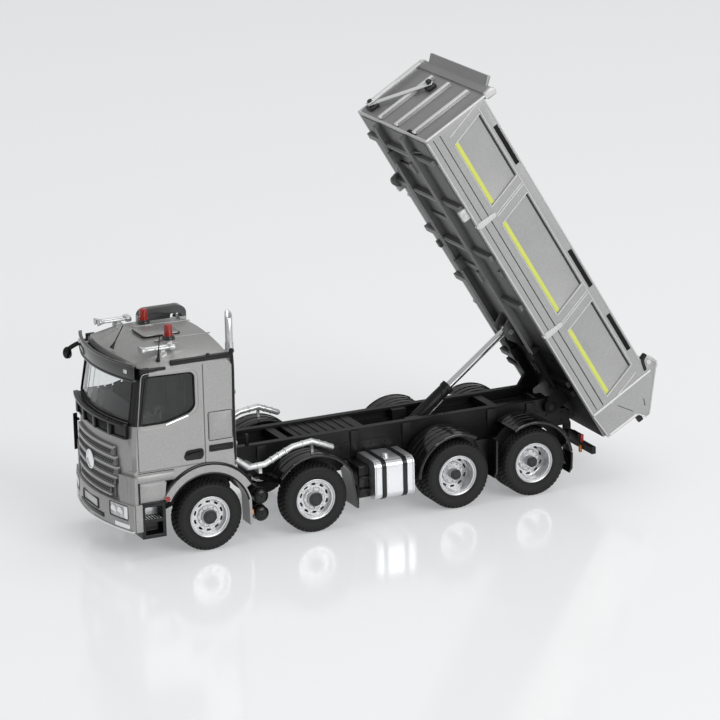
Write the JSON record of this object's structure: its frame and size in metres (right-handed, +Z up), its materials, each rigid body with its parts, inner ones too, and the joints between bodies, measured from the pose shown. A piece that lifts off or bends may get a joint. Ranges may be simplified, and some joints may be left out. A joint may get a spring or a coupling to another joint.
{
  "type": "four-axle tipper truck scale model",
  "caption": "Scale model of a four-axle dump truck with a raised tipping bed, steering front axles, spinning wheels and a swinging tailgate.",
  "frame": {"origin": "on the ground under the middle of the truck's outline with its bed raised", "axes": "+X to the truck's front, +Y to its left, +Z up"},
  "size_m": [0.1856, 0.0503, 0.137],
  "materials": {
    "silver_paint": "metallic satin",
    "bed_silver": "metallic satin",
    "frame_black": "satin",
    "underbody_grey": "satin",
    "cast_grey": "matt",
    "black_plastic": "satin",
    "visor_grey": "satin",
    "grey_plastic": "matt",
    "grille_grey": "satin",
    "tyre_rubber": "matt",
    "rim_silver": "satin",
    "brushed_aluminium": "brushed",
    "chrome": "polished",
    "clear_glass": "clear",
    "clear_lens": "clear lens",
    "red_lens": "clear lens"
  },
  "bodies": {
    "chassis": {"chassis_frame": "frame_black", "tipper_frame": "frame_black", "engine": "cast_grey", "front_axle_1": "frame_black", "front_axle_2": "frame_black", "rear_axle_3": "frame_black", "rear_axle_4": "frame_black", "rear_springs": "frame_black", "fuel_tank": "brushed_aluminium", "side_boxes": "black_plastic", "air_tanks": "black_plastic", "side_tubes": "chrome", "mudguards": "black_plastic", "rear_bumper": "frame_black", "rear_lamps": "red_lens", "exhaust_stack": "chrome", "cab_shell": "silver_paint", "cab_glazing": "clear_glass", "cab_interior": "grey_plastic", "grille": "grille_grey", "front_bumper": "silver_paint", "headlamps": "clear_lens", "sun_visor": "visor_grey", "front_mirror": "black_plastic", "cowl_panel": "black_plastic", "beacons": "red_lens", "air_horns": "chrome", "cab_steps": "black_plastic", "cab_mudguards": "silver_paint", "intake_hoop": "visor_grey"},
    "knuckle_1_left": {"knuckle_1_left": "frame_black"},
    "knuckle_1_right": {"knuckle_1_right": "frame_black"},
    "tie_rod_1": {"tie_rod_1": "frame_black"},
    "knuckle_2_left": {"knuckle_2_left": "frame_black"},
    "knuckle_2_right": {"knuckle_2_right": "frame_black"},
    "tie_rod_2": {"tie_rod_2": "frame_black"},
    "wheel_1_left": {"tyre_1_left": "tyre_rubber", "rim_1_left": "rim_silver"},
    "wheel_1_right": {"tyre_1_right": "tyre_rubber", "rim_1_right": "rim_silver"},
    "wheel_2_left": {"tyre_2_left": "tyre_rubber", "rim_2_left": "rim_silver"},
    "wheel_2_right": {"tyre_2_right": "tyre_rubber", "rim_2_right": "rim_silver"},
    "wheel_3_left": {"tyre_3_left": "tyre_rubber", "rim_3_left": "rim_silver"},
    "wheel_3_right": {"tyre_3_right": "tyre_rubber", "rim_3_right": "rim_silver"},
    "wheel_4_left": {"tyre_4_left": "tyre_rubber", "rim_4_left": "rim_silver"},
    "wheel_4_right": {"tyre_4_right": "tyre_rubber", "rim_4_right": "rim_silver"},
    "bed": {"bed_floor": "bed_silver", "bed_side_left": "bed_silver", "bed_side_right": "bed_silver", "bed_front_wall": "bed_silver", "bed_rails": "underbody_grey"},
    "gate": {"tailgate": "bed_silver"},
    "barrel": {"cylinder_barrel": "frame_black"},
    "rod": {"cylinder_rod": "chrome"}
  },
  "joints": [
    {"name": "steer_1_left", "type": "hinge", "parent": "chassis", "child": "knuckle_1_left", "pos_m": [0.06311, 0.0162, 0.0109], "axis": [0, 0, 1], "range_deg": [-18, 18]},
    {"name": "steer_1_right", "type": "hinge", "parent": "chassis", "child": "knuckle_1_right", "pos_m": [0.06311, -0.0162, 0.0109], "axis": [0, 0, 1], "range_deg": [-18, 18]},
    {"name": "tie_rod_1_pivot", "type": "hinge", "parent": "knuckle_1_left", "child": "tie_rod_1", "pos_m": [0.05861, 0.0162, 0.0071], "axis": [0, 0, 1], "range_deg": [-18, 18]},
    {"name": "steer_2_left", "type": "hinge", "parent": "chassis", "child": "knuckle_2_left", "pos_m": [0.02761, 0.0162, 0.0109], "axis": [0, 0, 1], "range_deg": [-18, 18]},
    {"name": "steer_2_right", "type": "hinge", "parent": "chassis", "child": "knuckle_2_right", "pos_m": [0.02761, -0.0162, 0.0109], "axis": [0, 0, 1], "range_deg": [-18, 18]},
    {"name": "tie_rod_2_pivot", "type": "hinge", "parent": "knuckle_2_left", "child": "tie_rod_2", "pos_m": [0.02311, 0.0162, 0.0071], "axis": [0, 0, 1], "range_deg": [-18, 18]},
    {"name": "wheel_1_left_spin", "type": "hinge", "parent": "knuckle_1_left", "child": "wheel_1_left", "pos_m": [0.06311, 0.02, 0.0109], "axis": [0, 1, 0], "continuous": true},
    {"name": "wheel_1_right_spin", "type": "hinge", "parent": "knuckle_1_right", "child": "wheel_1_right", "pos_m": [0.06311, -0.02, 0.0109], "axis": [0, 1, 0], "continuous": true},
    {"name": "wheel_2_left_spin", "type": "hinge", "parent": "knuckle_2_left", "child": "wheel_2_left", "pos_m": [0.02761, 0.02, 0.0109], "axis": [0, 1, 0], "continuous": true},
    {"name": "wheel_2_right_spin", "type": "hinge", "parent": "knuckle_2_right", "child": "wheel_2_right", "pos_m": [0.02761, -0.02, 0.0109], "axis": [0, 1, 0], "continuous": true},
    {"name": "wheel_3_left_spin", "type": "hinge", "parent": "chassis", "child": "wheel_3_left", "pos_m": [-0.02139, 0.02, 0.0109], "axis": [0, 1, 0], "continuous": true},
    {"name": "wheel_3_right_spin", "type": "hinge", "parent": "chassis", "child": "wheel_3_right", "pos_m": [-0.02139, -0.02, 0.0109], "axis": [0, 1, 0], "continuous": true},
    {"name": "wheel_4_left_spin", "type": "hinge", "parent": "chassis", "child": "wheel_4_left", "pos_m": [-0.04839, 0.02, 0.0109], "axis": [0, 1, 0], "continuous": true},
    {"name": "wheel_4_right_spin", "type": "hinge", "parent": "chassis", "child": "wheel_4_right", "pos_m": [-0.04839, -0.02, 0.0109], "axis": [0, 1, 0], "continuous": true},
    {"name": "bed_tip", "type": "hinge", "parent": "chassis", "child": "bed", "pos_m": [-0.06139, 0, 0.024], "axis": [0, 1, 0], "range_deg": [0, 59.3]},
    {"name": "gate_swing", "type": "hinge", "parent": "bed", "child": "gate", "pos_m": [-0.08962, 0, 0.03855], "axis": [0, 1, 0], "range_deg": [0, 55]},
    {"name": "barrel_swing", "type": "hinge", "parent": "chassis", "child": "barrel", "pos_m": [-0.01489, 0, 0.0211], "axis": [0, 1, 0], "range_deg": [-18.54, 0]},
    {"name": "rod_slide", "type": "slide", "parent": "barrel", "child": "rod", "axis": [-0.7967, 0, 0.6043], "range_m": [-0.02449, 0]}
  ],
  "couplings": [
    {"joint": "steer_1_right", "follows": "steer_1_left", "ratio": 1},
    {"joint": "tie_rod_1_pivot", "follows": "steer_1_left", "ratio": -1},
    {"joint": "steer_2_right", "follows": "steer_2_left", "ratio": 1},
    {"joint": "tie_rod_2_pivot", "follows": "steer_2_left", "ratio": -1},
    {"joint": "barrel_swing", "follows": "bed_tip", "ratio": -0.3118},
    {"joint": "rod_slide", "follows": "bed_tip", "m_per_rad": -0.02361}
  ]
}
